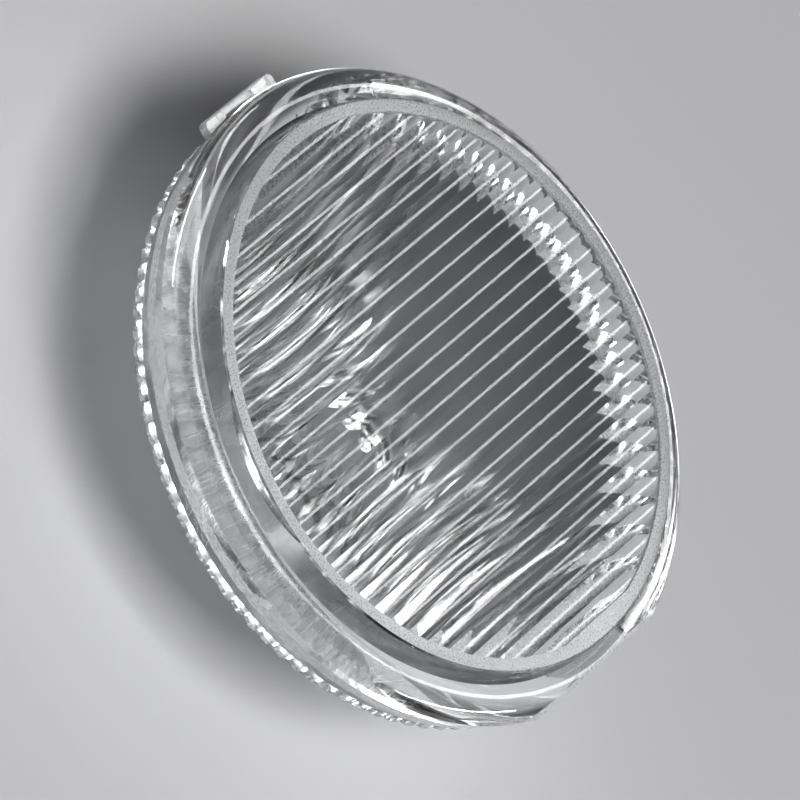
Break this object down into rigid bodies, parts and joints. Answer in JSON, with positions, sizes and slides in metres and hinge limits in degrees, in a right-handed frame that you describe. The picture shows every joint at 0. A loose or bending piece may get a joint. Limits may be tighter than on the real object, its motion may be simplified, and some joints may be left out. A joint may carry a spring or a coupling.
{
  "type": "led collimator lens",
  "caption": "Clear moulded collimator lens for one high-power LED, with a ribbed front, a rounded carrying flange and a fluted rim.",
  "frame": {"origin": "centre of the LED pocket's mouth, in the plane of the foot ring that stands on the LED's board", "axes": "+Z along the optical axis towards the ribbed light exit, +Y towards the keying tab, +X along the ribs"},
  "size_m": [0.035, 0.0346, 0.0146],
  "materials": {
    "clear_acrylic": "clear and polished, frosted on the face ring, the tab and the gate flat"
  },
  "bodies": {
    "root": {"lens": "clear_acrylic"}
  },
  "joints": []
}
